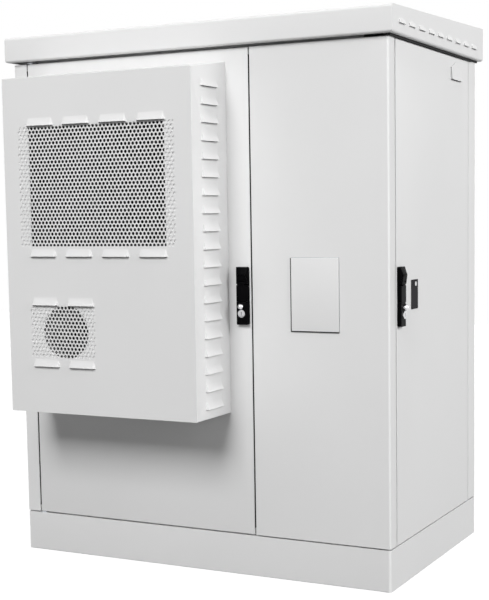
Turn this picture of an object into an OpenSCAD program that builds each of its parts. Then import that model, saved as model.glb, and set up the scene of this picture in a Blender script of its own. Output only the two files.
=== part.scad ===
// Roadside utility cabinet: two bays on a plinth under a rain hood, with a cooler on the front door.
// Lengths are millimetres. The front faces -Y, the side door faces +X and Z is up.
// The origin is on the ground, at the centre of the four anchor holes.

/* [Body] */
// Width over the two side faces
body_w = 1250; // [1230:5:1280]
// Depth from the door face to the rear face
body_d = 760; // [740:5:800]
// Height of the hood's lower edge above the ground
body_h = 1540; // [1530:5:1560]
// Thickness of the body's sheet steel
sheet = 2; // [1.5:0.1:2.5]
// Outer radius of the upright corners
corner_r = 6; // [5:0.5:8]
// Width of a corner post on each face
post_w = 48; // [46:1:52]
// Width of a rear corner post on the side face
rear_w = 69; // [66:1:72]
// Width of the flange that a door or panel lands on
land_w = 34; // [32:1:36]
// Place of the seam between door and fixed panel, from the left face
seam_x = 825; // [815:1:835]

/* [Plinth] */
// Height of the plinth
plinth_h = 120; // [110:5:130]
// Thickness of the plinth's steel
plinth_t = 3; // [3:0.5:4]
// Width of the plinth's flanges
plinth_flange = 50; // [46:1:56]
// Radius of the plinth's upright corners
plinth_r = 8; // [6:1:12]
// Diameter of an anchor hole
anchor_d = 14; // [12:0.5:16]
// Distance of an anchor hole from the side face
anchor_in = 100; // [90:5:120]

/* [Doors and panels] */
// Joint around doors and panels
door_gap = 4; // [3.8:0.1:4.5]
// Shadow gap between plinth and doors
foot_gap = 4; // [3.6:0.2:5]
// Shadow gap between doors and the hood's lower edge
head_gap = 7; // [6:0.5:8]
// Depth of a door's folded edge
door_depth = 24; // [23:0.5:26]
// Width of the lip folded in behind a door's edge
lip_w = 32; // [30:1:34]
// Thickness of the door seal
seal_t = 6; // [5.5:0.5:7]
// Width of the door seal
seal_w = 14; // [12:1:15]
// Distance of the seal from the door's edge
seal_in = 13; // [12:0.5:14]
// Height of the sill flange
sill_h = 36; // [34:1:40]
// Height of the header flange
head_h = 52; // [50:1:56]

/* [Hinges] */
// Diameter of a hinge pin
pin_d = 8; // [7:0.5:8]
// Distance of the hinge axis from the door's edge
pin_edge = 9; // [8.5:0.5:9]
// Distance of the hinge axis behind the door's face
pin_back = 8; // [7.5:0.5:8]
// Running clearance around pins and shafts
fit = 0.05; // [0.03:0.01:0.08]
// Reach of a hinge pin into the door
pin_reach = 18; // [16:1:20]
// Size of the bearing block in a door's corner
block_s = 16; // [15:0.5:16]
// Thickness of a hinge tab
tab_t = 3; // [2.5:0.5:3]
// Width of a hinge tab
tab_w = 20; // [18:1:22]
// Diameter of the collar under the door
collar_d = 14; // [12:1:15]

/* [Hood] */
// Overhang of the hood past each face
hood_over = 19; // [17:1:22]
// Height of the hood's front edge
hood_front = 75; // [70:1:80]
// Height of the hood's rear edge
hood_rear = 103; // [98:1:108]
// Bend radius along the hood's front
hood_r = 9; // [8:1:12]
// Bend radius along the hood's lower edge
hood_fold_r = 7; // [6:0.5:8]
// Width of the lip folded in below the hood
hood_lip = 12; // [10:1:14]
// Number of vents along each side of the hood
hood_vents = 9; // [7:1:9]
// Spacing of the hood's vents
hood_pitch = 79; // [74:1:80]
// Width of a hood vent
hood_vent_w = 46; // [42:1:50]
// Height of a hood vent
hood_vent_h = 15; // [14:1:17]
// Height of a hood vent at its shoulders
hood_vent_eave = 9; // [8:0.5:10]
// How far a hood vent stands proud
hood_vent_p = 5; // [4.5:0.5:6]
// Height of the hood's vents above its lower edge
hood_vent_z = 30; // [26:1:32]
// How far the row of hood vents lies in front of the middle
hood_vent_y = 11; // [8:1:14]
// Distance of a hood rib from the middle
rib_x = 400; // [350:10:450]
// Length of a hood rib
rib_l = 640; // [600:10:680]
// Thickness of a hood rib
rib_t = 3; // [2:0.5:4]

/* [Front hatch] */
// Distance of the hatch's middle to the left of the fixed panel's middle
hatch_off = 11.5; // [8:0.5:16]
// Lower edge of the hatch above the ground
hatch_z = 728; // [720:1:740]
// Width of the hatch
hatch_w = 150; // [140:1:160]
// Height of the hatch
hatch_h = 210; // [200:1:220]
// Joint around the hatch
hatch_gap = 1.5; // [1:0.1:2]
// How far the hatch stands proud
hatch_p = 3; // [2.5:0.5:4]
// Width of the backing frame on each side of the opening
hatch_land = 18; // [15:1:20]

/* [Cooler cover] */
// Left side of the cooler, from the body's left face
cooler_x = 107; // [104:1:110]
// Gap between the cooler and the front handle
cooler_gap = 29; // [26:1:34]
// Lower edge of the cooler above the ground
cooler_z = 482; // [478:1:486]
// Height of the cooler's front
cooler_h = 985; // [980:1:990]
// Rise of the cooler's top towards the door
cooler_rise = 30; // [24:1:34]
// Depth of the cooler
cooler_d = 198; // [194:1:202]
// Width of a cooler vent
vent_w = 95; // [90:1:98]
// Height of a cooler vent
vent_h = 22; // [20:1:24]
// How far a cooler vent stands proud
vent_p = 8; // [7:0.5:9]
// Spacing of the vents across the cooler's front
vent_pitch = 126.6; // [124:0.2:127]
// Least margin beside a long row of front vents
vent_margin = 40; // [36:1:48]
// Spacing of the vents down the cooler's sides
side_pitch = 50.4; // [49:0.1:50.6]
// Lip of the lowest side vent above the cooler's lower edge
side_vent_z = 29; // [26:1:32]
// Lips of the vents below the lower grille, above the cooler's lower edge
vent_row_a = 138.5; // [136:0.5:141]
// Lips of the vents above the lower grille
vent_row_b = 320.5; // [318:0.5:324]
// Lips of the vents below the upper grille
vent_row_c = 464; // [461:0.5:466]
// Lips of the vents above the upper grille, below the cooler's front upper edge
vent_down = 140; // [136:0.5:144]

/* [Cooler grilles] */
// Spacing of the holes along a row
hole_pitch = 25.4; // [25:0.1:25.6]
// Diameter of a hole
hole_d = 16.5; // [15:0.5:17]
// Rim of the perforated plates around the holes
grille_rim = 4; // [3.5:0.5:4.5]
// Least margin beside the holes of the upper grille
upper_margin = 50; // [46:1:54]
// Centre of the lowest upper row above the cooler's lower edge
upper_z = 502; // [500:1:504]
// Holes in a row of the lower grille
lower_cols = 9; // [8:1:9]
// Rows of the lower grille
lower_rows = 7; // [6:1:7]
// Centre of the lowest lower row above the cooler's lower edge
lower_z = 176; // [174:1:178]
// Middle of the lower grille from the cooler's left side
lower_x = 196; // [192:1:200]

/* [Cooler inside] */
// Closed strip of the upper grille beside the window behind it
window_rim = 40; // [36:1:46]
// Margin of the baffle around the grilles
baffle_m = 12; // [10:1:14]
// Middle of the fan from the cooler's left side
fan_x = 204; // [200:1:208]
// Radius of the fan opening
fan_open_r = 79; // [77:1:80]
// Radius of the fan over its blades
fan_r = 74; // [70:1:75]
// Radius of the fan hub
hub_r = 27; // [24:1:30]
// Number of fan blades
blades = 7; // [5:1:9]
// Thickness of a fan blade
blade_t = 2; // [1.8:0.1:2.5]
// Pitch angle of a fan blade
blade_a = 32; // [28:1:36]
// Depth of the fan ring
ring_l = 30; // [26:1:32]
// Diameter of the fan shaft
shaft_d = 8; // [7:0.5:9]
// Radius of the fan motor
motor_r = 25; // [22:1:28]
// Length of the fan motor
motor_l = 40; // [36:1:44]
// Width of the motor bracket
bridge_w = 60; // [54:1:64]
// Span of the motor bracket
bridge_s = 230; // [220:2:240]
// Thickness of the motor bracket
bridge_t = 3; // [2.5:0.5:4]
// Depth of the coil
coil_d = 42; // [38:1:44]
// Number of fins in the coil
fins = 46; // [30:1:46]
// Thickness of a fin
fin_t = 1; // [0.8:0.1:1.2]

/* [Swing handles] */
// Width of a handle
grip_w = 39; // [38:0.5:40]
// Height of a handle
grip_h = 167; // [165:1:168]
// Lower end of the handles above the ground
grip_z = 743.5; // [740:0.5:748]
// Distance of a handle's middle from the door's edge
grip_in = 24.5; // [24:0.5:26]
// Thickness of the handle's base plate
base_t = 5; // [4.5:0.5:5.5]
// Radius of the base plate's corners
base_r = 5; // [4:0.5:6]
// How far the lock block stands proud
lock_t = 12; // [11:0.5:12.5]
// Height of the lock block
lock_h = 68; // [67:0.5:69]
// Swing axis below the handle's upper end
swing_down = 30; // [29:0.5:31]
// Length of the lever from the swing axis
lever_r = 71; // [70:0.5:71]
// Clearance around the lever's end
lever_gap = 1.5; // [1.4:0.1:2]
// How far the lever stands proud
lever_t = 13; // [12.5:0.5:13.5]
// Width of the lever's end
lever_w = 35; // [33:0.5:36]
// Lower end of the head below the swing axis
head_low = 19; // [18.5:0.5:19.5]
// Upper end of the lever below the swing axis
lever_top = 23; // [22.5:0.5:23.5]
// How far the head stands proud
head_t = 18; // [17:0.5:19]
// Crown of the head above the swing axis
crown_up = 6; // [4:0.5:8]
// Height of a handle's upright sides
grip_side = 9; // [8:0.5:10]
// How far a handle's sides lean in at the crown
crown_in = 5; // [4:0.5:6]
// How far the head stands proud at its upper edge
head_top_t = 9; // [8:0.5:10]
// How far the head stands proud at its lower edge
head_low_t = 14.5; // [14:0.5:15]
// Width of the lever's tongue
tongue_w = 20; // [18:0.5:21]
// Lift axis below the swing axis
lift_down = 15; // [14.5:0.5:15]
// Lift axis in front of the door
lift_out = 10; // [10:0.1:10.2]
// Radius of the lever's knuckle
knuckle_r = 4.8; // [4.4:0.1:4.8]
// Diameter of the lift pin
lift_pin_d = 4; // [3:0.5:4]
// Length of the lift pin
lift_pin_l = 32; // [30:0.5:34]
// Diameter of the spindle
spindle_d = 14; // [12:0.5:16]
// Diameter of the spindle's nut
nut_d = 26; // [24:0.5:28]
// Thickness of the spindle's nut
nut_t = 6; // [5:0.5:7]
// Release button above the handle's lower end
button_z = 53.5; // [53:0.1:53.8]
// Diameter of the release button
button_d = 17; // [16:0.2:17]
// Reach of the button's dome in front of the door
button_out = 29; // [28:0.5:30]
// Travel of the release button
button_travel = 2.5; // [2:0.1:2.8]
// Lock plug above the handle's lower end
plug_z = 32.5; // [32:0.1:32.6]
// Diameter of the lock plug
plug_d = 22.6; // [21:0.1:22.8]
// Reach of the lock plug in front of the door
plug_out = 16.5; // [15:0.5:17]
// Width of the key slot
key_w = 2.4; // [2:0.1:3]
// Height of the key slot
key_h = 10; // [8:0.5:11]
// Depth of the key slot
key_d = 7; // [6:0.5:8]

/* [Side door fittings] */
// Middle of the lock cover from the body's front face
cover_y = 192; // [188:1:196]
// Lower end of the lock cover above the ground
cover_z = 785; // [780:1:790]
// Width of the lock cover
cover_w = 50; // [46:1:52]
// Height of the lock cover
cover_h = 84; // [80:1:86]
// Thickness of the lock cover
cover_t = 2.5; // [2:0.1:3]
// Pivot of the lock cover below its upper end
cover_pivot = 12; // [11:0.5:13]
// Diameter of the cover's pivot stud
stud_d = 6; // [5:0.5:7]
// Diameter of the stud's head
stud_head_d = 13; // [12:0.5:14]
// Thickness of the stud's head
stud_head_t = 3; // [2.5:0.5:3.5]
// Middle of the door vent from the body's front face
door_vent_y = 563; // [555:1:570]
// Lip of the door vent below the door's upper edge
door_vent_down = 70; // [66:1:75]
// Width of the door vent
door_vent_w = 92; // [88:1:96]
// Height of the door vent
door_vent_h = 54; // [50:1:58]
// Height of the door vent at its shoulders
door_vent_eave = 37; // [34:1:40]
// How far the door vent stands proud
door_vent_p = 7; // [6:0.5:8]

/* [Inside] */
// Clear width between the rack rails
rack_w = 450; // [440:2:460]
// Height units of the rack rails
rack_units = 27; // [20:1:28]
// Height of one rack unit
unit_h = 44.45; // [44.4:0.05:44.5]
// Width of a rail's face
rail_w = 40; // [36:1:44]
// Depth of a rail's flanges
rail_d = 28; // [24:1:32]
// Size of the square holes in the rails
square_s = 9.5; // [9:0.1:10]
// Front rails behind the body's front face
rail_front = 110; // [100:5:130]
// Rear rails behind the body's front face
rail_rear = 600; // [560:5:620]
// Width of the mounting plate
plate_w = 420; // [400:5:440]
// Height of the mounting plate
plate_h = 900; // [860:10:940]
// Lower edge of the mounting plate above the ground
plate_z = 480; // [460:5:500]
// Depth of the mounting plate's folded edges
plate_fold = 22; // [18:1:26]
// Width of a terminal rail
din_w = 35; // [34:0.5:36]
// Width of the raised middle of a terminal rail
din_in = 25; // [24:0.5:26]
// Depth of a terminal rail
din_d = 7.5; // [7:0.5:8]
// Thickness of a terminal rail
din_t = 1.5; // [1.2:0.1:1.8]
// Lower terminal rail above the plate's lower edge
din_low = 260; // [240:10:280]
// Upper terminal rail above the plate's lower edge
din_high = 640; // [600:10:680]
// Length of the earth bar
earth_l = 320; // [300:5:340]
// Height of the earth bar
earth_h = 30; // [26:1:34]
// Thickness of the earth bar
earth_t = 6; // [5:0.5:8]
// Number of terminal holes in the earth bar
earth_holes = 8; // [6:1:9]
// Diameter of a terminal hole
earth_hole_d = 7; // [6:0.5:8]
// Earth bar above the ground
earth_z = 380; // [370:5:390]
// Diameter of an earth bar post
earth_post_d = 24; // [20:1:26]
// Length of an earth bar post
earth_post_l = 32; // [28:1:36]
// Width of the cable opening in the floor
entry_w = 240; // [220:5:260]
// Depth of the cable opening in the floor
entry_d = 300; // [280:5:320]
// Rim of the gland plate around the opening
entry_rim = 20; // [16:1:24]
// Thickness of the gland plate
entry_t = 3; // [2:0.5:4]

/* [Hidden] */
$fn = 48;
paint = [0.86, 0.86, 0.85];
dark_steel = [0.30, 0.30, 0.31];
zinc = [0.70, 0.71, 0.72];
chrome_c = [0.80, 0.80, 0.82];
black = [0.06, 0.06, 0.06];
brass_c = [0.75, 0.60, 0.30];
deck_share = 3;
tab_front_share = 1 / 3;
earth_post_share = 0.4;
earth_row_share = 0.7;
fin_share = 0.8;
bore_share = 0.6;
shaft_share = 0.5;
blade_root_share = 0.9;
blade_w_share = 0.5;
slot_share = 2.2;
peak_share = 0.15;
rack_hole_shares = [1 / 7, 1 / 2, 6 / 7];
insulator_c = [0.55, 0.12, 0.10];
eps = sheet / 4;
x_l = -body_w / 2;
x_r = body_w / 2;
y_f = -body_d / 2;
y_b = body_d / 2;
landing = door_depth + seal_t;
floor_z = plinth_h + sheet;
door_z0 = plinth_h + foot_gap;
door_z1 = body_h - head_gap;
deck_z = body_h + door_gap * deck_share;
seam = x_l + seam_x;
fd_x0 = x_l + post_w + door_gap;
fd_x1 = seam - door_gap / 2;
sd_y0 = y_f + post_w + door_gap;
sd_y1 = y_b - rear_w - door_gap;
land_end = post_w + land_w;
panel_x = seam + door_gap / 2;
fd_pin_x = fd_x0 + pin_edge;
fd_pin_y = y_f + pin_back;
sd_pin_x = x_r - pin_back;
sd_pin_y = sd_y1 - pin_edge;
grip_fx = fd_x1 - grip_in;
cool_x0 = x_l + cooler_x;
cool_x1 = grip_fx - grip_w / 2 - cooler_gap;
cooler_w = cool_x1 - cool_x0;
cool_xm = (cool_x0 + cool_x1) / 2;
cool_y = y_f - cooler_d;
cool_z1 = cooler_z + cooler_h;
hole_row = hole_pitch * sqrt(3) / 2;
fan_xc = cool_x0 + fan_x;
lower_xc = cool_x0 + lower_x;
fan_zc = cooler_z + lower_z + (lower_rows - 1) * hole_row / 2;
vent_row_d = cooler_h - vent_down;
vent_rows = [vent_row_a, vent_row_b, vent_row_c, vent_row_d];
long_vents = floor((cooler_w - 2 * vent_margin) / vent_pitch);
side_vents = 1 + floor((cooler_h - side_vent_z - vent_h) / side_pitch);
upper_cols = floor((cooler_w - 2 * upper_margin) / hole_pitch);
upper_rows = 1 + floor((vent_row_d - upper_z - hole_d / 2 - grille_rim) / hole_row);
upper_w = upper_cols * hole_pitch - hole_pitch / 2 + hole_d + 2 * grille_rim;
upper_h = (upper_rows - 1) * hole_row + hole_d + 2 * grille_rim;
lower_w = lower_cols * hole_pitch - hole_pitch / 2 + hole_d + 2 * grille_rim;
lower_h = (lower_rows - 1) * hole_row + hole_d + 2 * grille_rim;
upper_z0 = cooler_z + upper_z - hole_d / 2 - grille_rim;
lower_z0 = cooler_z + lower_z - hole_d / 2 - grille_rim;
window_w = upper_w - 2 * window_rim;
baffle_y = cool_y + sheet;
coil_y = baffle_y + sheet;
hub_l = ring_l - 2 * sheet;
motor_y = coil_y + ring_l + sheet;
bridge_y = motor_y + motor_l;
grip_sy = sd_y0 + grip_in;
swing_z = grip_h - swing_down;
lift_z = swing_z - lift_down;
plug_floor = base_t + eps;
button_in = base_t + button_travel + eps;
dome_r = button_d / 2;
hatch_x0 = (seam + x_r) / 2 - hatch_w / 2 - hatch_off;
rack_x = (x_l + landing + seam) / 2;
earth_y = -earth_l / 2;
entry_x = (seam + x_r) / 2 - entry_w / 2;
entry_y = -entry_d / 2;

// A box between two corners
module box(lo, hi) {
  translate(lo) cube(hi - lo);
}

// A rectangle with true round corners, centred
module round_rect(w, h, r) {
  square([w - 2 * r, h], center = true);
  square([w, h - 2 * r], center = true);
  for (i = [-1, 1], j = [-1, 1])
    translate([i * (w / 2 - r), j * (h / 2 - r)]) circle(r = r);
}

// A rectangle with one true round corner, at its own origin
module corner_block(w, s, r) {
  translate([r, 0]) square([w - r, s]);
  translate([0, r]) square([w, s - r]);
  translate([r, r]) circle(r = r);
}

// The walls of a corner post that show outside, s wide on the side face
module corner_walls(s) {
  difference() {
    corner_block(post_w, s, corner_r);
    translate([sheet, sheet]) corner_block(post_w, s, corner_r - sheet);
  }
}

// The jamb and landing flange behind one edge of a corner post that is s wide
module corner_jamb(s) {
  translate([0, s - sheet]) square([landing + sheet, sheet]);
  corner_land(s);
}

// The landing flange alone
module corner_land(s) {
  translate([landing, s - sheet]) square([sheet, land_w + sheet]);
}

// A corner post with both jambs, its outer corner at the origin, s wide on the side face
module post(s) {
  translate([0, 0, door_z0]) linear_extrude(height = door_z1 - door_z0) {
    corner_walls(s);
    corner_jamb(s);
    mirror([1, -1]) corner_jamb(post_w);
  }
  translate([0, 0, floor_z]) linear_extrude(height = deck_z - floor_z) {
    corner_land(s);
    mirror([1, -1]) corner_land(post_w);
  }
}

// A folded tray that faces -Y, with lips behind its edges
module tray(w, h, depth) {
  difference() {
    cube([w, depth, h]);
    translate([sheet, sheet, sheet]) cube([w - 2 * sheet, depth - 2 * sheet, h - 2 * sheet]);
    translate([lip_w, sheet, lip_w]) cube([w - 2 * lip_w, depth, h - 2 * lip_w]);
  }
}

// A wedge on the face y = 0: wide at its lip, which is at z0 and stands out to y1
module wedge(w, w_top, w_lip, y0, y1, z0, z1) {
  polyhedron(
    points = [[-w / 2, y0, z0], [w / 2, y0, z0], [w_top / 2, y0, z1], [-w_top / 2, y0, z1],
      [-w_lip / 2, y1, z0], [w_lip / 2, y1, z0]],
    faces = [[0, 1, 2, 3], [4, 0, 3], [1, 5, 2], [5, 4, 3, 2], [0, 4, 5, 1]]);
}

// The outside of a pressed vent that faces -Y, with its lip along z = 0
module vent_hood(w, h, p) {
  slope = (h / p) * eps;
  wedge(w, w - h / 2, w - p, eps, -p, 0, h + slope);
}

// The hollow of a pressed vent, which also opens the sheet behind it
module vent_hollow(w, h, p) {
  w_in = w - 2 * sheet;
  reach = sheet + eps;
  slope = (h / p) * reach;
  wedge(w_in, w_in - h / 2, w_in - p, reach, sheet - p, -eps, h - sheet + slope - (h / p) * sheet);
}

// The outside of a pressed vent with a peaked top, which faces -Y with its lip along z = 0
module peak_hood(w, h, eave, p) {
  intersection() {
    rotate([90, 0, 0]) translate([0, 0, -eps]) linear_extrude(height = p + 2 * eps)
      polygon([[-w / 2, 0], [w / 2, 0], [w / 2, eave], [0, h], [-w / 2, eave]]);
    peak_lean(w, h, p);
  }
}

// The space behind a peaked vent's sloping front
module peak_lean(w, h, p) {
  top_y = -p * peak_share;
  translate([-w, 0, 0]) rotate([90, 0, 90]) linear_extrude(height = 2 * w)
    polygon([[2 * sheet, -sheet], [-p, -sheet], [-p, 0], [top_y, h], [top_y, h + sheet],
      [2 * sheet, h + sheet]]);
}

// The hollow of a peaked vent, which also opens the sheet behind it
module peak_hollow(w, h, eave, p) {
  w_in = w / 2 - sheet;
  reach = sheet + eps;
  top = h - 2 * sheet;
  intersection() {
    rotate([90, 0, 0]) translate([0, 0, -reach]) linear_extrude(height = p + reach)
      polygon([[-w_in, -eps], [w_in, -eps], [w_in, eave - sheet], [0, top], [-w_in, eave - sheet]]);
    translate([0, sheet, 0]) peak_lean(w, h, p);
  }
}

// A perforated plate that faces -Y, the middle of its lowest row at the origin
module grille(cols, rows, w, h) {
  rotate([90, 0, 0]) translate([0, 0, -sheet]) linear_extrude(height = sheet) difference() {
    translate([-w / 2, -grille_rim - hole_d / 2]) square([w, h]);
    for (r = [0 : rows - 1], c = [0 : cols - 1])
      translate([(c - (cols - 1) / 2 + (r % 2 - 1 / 2) / 2) * hole_pitch, r * hole_row]) circle(d = hole_d);
  }
}

// The whole plinth, which the four sides are cut from at their mitres
module plinth_ring() {
  inner_h = plinth_h - 2 * plinth_t;
  difference() {
    linear_extrude(height = plinth_h) round_rect(body_w, body_d, plinth_r);
    translate([0, 0, plinth_t]) linear_extrude(height = inner_h)
      round_rect(body_w - 2 * plinth_t, body_d - 2 * plinth_t, plinth_r - plinth_t);
    translate([0, 0, -plinth_t]) linear_extrude(height = plinth_h * 2)
      square([body_w - 2 * plinth_flange, body_d - 2 * plinth_flange], center = true);
    for (i = [-1, 1], j = [-1, 1])
      translate([i * (body_w / 2 - anchor_in), j * (body_d / 2 - plinth_flange / 2), -plinth_t])
        cylinder(d = anchor_d, h = 3 * plinth_t);
  }
}

// One side of the plinth: its outer edge from a to b
module plinth_side(along, across) {
  m = plinth_flange + plinth_t;
  color(paint) intersection() {
    plinth_ring();
    linear_extrude(height = plinth_h) polygon([[-along[0] - across[0], -along[1] - across[1]],
      [along[0] - across[0], along[1] - across[1]],
      [along[0] - across[0] - sign(along[0]) * m + sign(across[0]) * m,
        along[1] - across[1] - sign(along[1]) * m + sign(across[1]) * m],
      [-along[0] - across[0] + sign(along[0]) * m + sign(across[0]) * m,
        -along[1] - across[1] + sign(along[1]) * m + sign(across[1]) * m]]);
  }
}

module plinth_front() {
  plinth_side([body_w / 2, 0], [0, body_d / 2]);
}

module plinth_rear() {
  plinth_side([body_w / 2, 0], [0, -body_d / 2]);
}

module plinth_left() {
  plinth_side([0, body_d / 2], [body_w / 2, 0]);
}

module plinth_right() {
  plinth_side([0, body_d / 2], [-body_w / 2, 0]);
}

// The upright flanges that doors and panels land on, between the posts
module curb(z0, z1) {
  span_x = x_r - land_end;
  span_y = y_b - land_end;
  rear_y = y_b - rear_w - land_w;
  face_x = x_r - landing;
  face_y = y_b - landing;
  box([-span_x, -face_y, z0], [panel_x - land_w, sheet - face_y, z1]);
  box([panel_x + sheet, -face_y, z0], [span_x, sheet - face_y, z1]);
  box([-span_x, face_y - sheet, z0], [span_x, face_y, z1]);
  box([-face_x, -span_y, z0], [sheet - face_x, rear_y, z1]);
  box([face_x - sheet, -span_y, z0], [face_x, rear_y, z1]);
}

module floor_pan() {
  rest = landing - sheet;
  color(zinc) difference() {
    union() {
      box([x_l + rest, y_f + rest, plinth_h], [x_r - rest, y_b - rest, floor_z]);
      curb(floor_z - eps, floor_z + sill_h);
    }
    box([entry_x, entry_y, plinth_h - sheet], [entry_x + entry_w, entry_y + entry_d, floor_z + sheet]);
  }
}

module gland_plate() {
  color(zinc) box([entry_x - entry_rim, entry_y - entry_rim, floor_z],
    [entry_x + entry_w + entry_rim, entry_y + entry_d + entry_rim, floor_z + entry_t]);
}

module post_front_left() {
  color(paint) translate([x_l, y_f, 0]) post(post_w);
}

module post_rear_left() {
  color(paint) translate([x_l, y_b, 0]) mirror([0, 1, 0]) post(rear_w);
}

module post_rear_right() {
  color(paint) translate([x_r, y_b, 0]) mirror([1, 0, 0]) mirror([0, 1, 0]) post(rear_w);
}

module left_panel() {
  color(paint) translate([x_l, sd_y1, door_z0]) rotate([0, 0, -90])
    tray(sd_y1 - sd_y0, door_z1 - door_z0, landing);
}

module rear_panel() {
  half = x_r - post_w - door_gap;
  color(paint) translate([half, y_b, door_z0]) rotate([0, 0, 180])
    tray(2 * half, door_z1 - door_z0, landing);
}

// The fixed panel's landing flange beside the seam
module seam_land() {
  translate([panel_x - land_w, y_f + landing]) square([land_w + sheet, sheet]);
}

module front_panel() {
  color(paint) difference() {
    union() {
      translate([0, 0, door_z0]) linear_extrude(height = door_z1 - door_z0) {
        translate([x_r, y_f]) mirror([1, 0]) {
          corner_walls(post_w);
          corner_jamb(post_w);
        }
        translate([panel_x, y_f]) square([x_r - post_w - panel_x + sheet, sheet]);
        translate([panel_x, y_f]) square([sheet, landing + sheet]);
        seam_land();
      }
      translate([0, 0, floor_z]) linear_extrude(height = deck_z - floor_z) {
        translate([x_r, y_f]) mirror([1, 0]) corner_land(post_w);
        seam_land();
      }
    }
    box([hatch_x0, y_f - sheet, hatch_z], [hatch_x0 + hatch_w, y_f + 2 * sheet, hatch_z + hatch_h]);
  }
}

module hatch_back() {
  color(zinc) translate([hatch_x0, y_f + sheet, hatch_z])
    box([-hatch_land, 0, -hatch_land], [hatch_w + hatch_land, sheet, hatch_h + hatch_land]);
}

module hatch_plate() {
  edge = hatch_gap + sheet;
  color(paint) translate([hatch_x0, y_f, hatch_z]) difference() {
    box([hatch_gap, -hatch_p, hatch_gap], [hatch_w - hatch_gap, sheet, hatch_h - hatch_gap]);
    box([edge, sheet - hatch_p, edge], [hatch_w - edge, 2 * sheet, hatch_h - edge]);
  }
}

module partition() {
  color(zinc) box([panel_x - sheet, y_f + landing + sheet, floor_z],
    [panel_x, y_b - landing - sheet, deck_z]);
}

module roof_deck() {
  color(zinc) {
    box([x_l, y_f, deck_z], [x_r, y_b, deck_z + sheet]);
    curb(deck_z + eps - head_h, deck_z + eps);
  }
}

// The hood's side outline, drawn in from the outside by d
module hood_side(d) {
  y0 = y_f - hood_over + d;
  y1 = y_b + hood_over - d;
  grade = (hood_rear - hood_front) / (y_b - y_f + 2 * hood_over);
  slant = sqrt(1 + grade * grade);
  r = hood_r - d;
  fold = hood_fold_r - d;
  low = body_h + d;
  z0 = body_h + hood_front + grade * d - d * slant;
  zc = z0 + grade * r - r * slant;
  translate([y0 + r, zc]) circle(r = r);
  for (y = [y0 + fold, y1 - fold]) translate([y, low + fold]) circle(r = fold);
  polygon([[y0, low + fold], [y0, zc], [y0 + r, zc], [y0 + r - r * grade / slant, zc + r / slant],
    [y1, z0 + grade * (y1 - y0)], [y1, low + fold], [y1 - fold, low], [y0 + fold, low]]);
}

// The hood's front outline, drawn in from the outside by d and left open above
module hood_face(d) {
  w = x_r + hood_over - d;
  fold = hood_fold_r - d;
  low = body_h + d;
  high = low + 2 * hood_rear;
  for (s = [-1, 1]) translate([s * (w - fold), low + fold]) circle(r = fold);
  polygon([[-w, low + fold], [fold - w, low], [w - fold, low], [w, low + fold], [w, high], [-w, high]]);
}

// The hood's sides and top, drawn in from the outside by d
module hood_solid(d) {
  intersection() {
    translate([-body_w, 0, 0]) rotate([90, 0, 90]) linear_extrude(height = 2 * body_w) hood_side(d);
    translate([0, body_d, 0]) rotate([90, 0, 0]) linear_extrude(height = 2 * body_d) hood_face(d);
  }
}

// Where the vents along the hood's two sides sit
module at_hood_vents() {
  for (s = [-1, 1], i = [0 : hood_vents - 1])
    translate([s * (x_r + hood_over), (i - (hood_vents - 1) / 2) * hood_pitch - hood_vent_y,
      body_h + hood_vent_z]) rotate([0, 0, s * 90]) children();
}

module roof_hood() {
  in_x = x_r + hood_over - hood_lip;
  in_y = y_b + hood_over - hood_lip;
  color(paint) difference() {
    union() {
      hood_solid(0);
      at_hood_vents() peak_hood(hood_vent_w, hood_vent_h, hood_vent_eave, hood_vent_p);
    }
    hood_solid(sheet);
    box([-in_x, -in_y, body_h - sheet], [in_x, in_y, body_h + 2 * sheet]);
    at_hood_vents() peak_hollow(hood_vent_w, hood_vent_h, hood_vent_eave, hood_vent_p);
  }
}

// A rib that carries the hood's sloping top
module hood_rib() {
  grade = (hood_rear - hood_front) / (y_b - y_f + 2 * hood_over);
  mid = body_h + (hood_rear + hood_front) / 2 - sheet * sqrt(1 + grade * grade);
  foot = deck_z + sheet;
  half = rib_l / 2;
  rotate([90, 0, 90]) linear_extrude(height = rib_t)
    polygon([[-half, foot], [half, foot], [half, mid + grade * half], [-half, mid - grade * half]]);
}

module hood_rib_left() {
  color(zinc) translate([-rib_x, 0, 0]) hood_rib();
}

module hood_rib_right() {
  color(zinc) translate([rib_x, 0, 0]) hood_rib();
}

// A hinge tab on the plinth under a door's lower corner; back is where it meets the floor pan
module hinge_low(back) {
  fore = tab_w * tab_front_share;
  collar_h = foot_gap - tab_t;
  color(zinc) {
    translate([-tab_w / 2, -fore, plinth_h]) cube([tab_w, back + fore, tab_t]);
    translate([0, 0, plinth_h + tab_t / 2]) cylinder(d = collar_d, h = tab_t / 2 + collar_h);
    translate([0, 0, plinth_h + tab_t / 2]) cylinder(d = pin_d, h = tab_t / 2 + collar_h + pin_reach);
  }
}

// A hinge tab over a door's upper corner; back is where it meets its flange
module hinge_high(back) {
  fore = tab_w * tab_front_share;
  color(zinc) {
    translate([-tab_w / 2, -fore, door_z1 + sheet]) cube([tab_w, back + fore, tab_t]);
    translate([0, 0, door_z1 - pin_reach]) cylinder(d = pin_d, h = pin_reach + sheet + tab_t / 2);
  }
}

module hinge_front_low() {
  translate([fd_pin_x, fd_pin_y, 0]) hinge_low(landing - sheet - pin_back);
}

module hinge_front_high() {
  translate([fd_pin_x, fd_pin_y, 0]) hinge_high(landing - pin_back);
}

module hinge_side_low() {
  translate([sd_pin_x, sd_pin_y, 0]) rotate([0, 0, 90]) hinge_low(landing - sheet - pin_back);
}

module hinge_side_high() {
  translate([sd_pin_x, sd_pin_y, 0]) rotate([0, 0, 90]) hinge_high(landing - pin_back);
}

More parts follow.
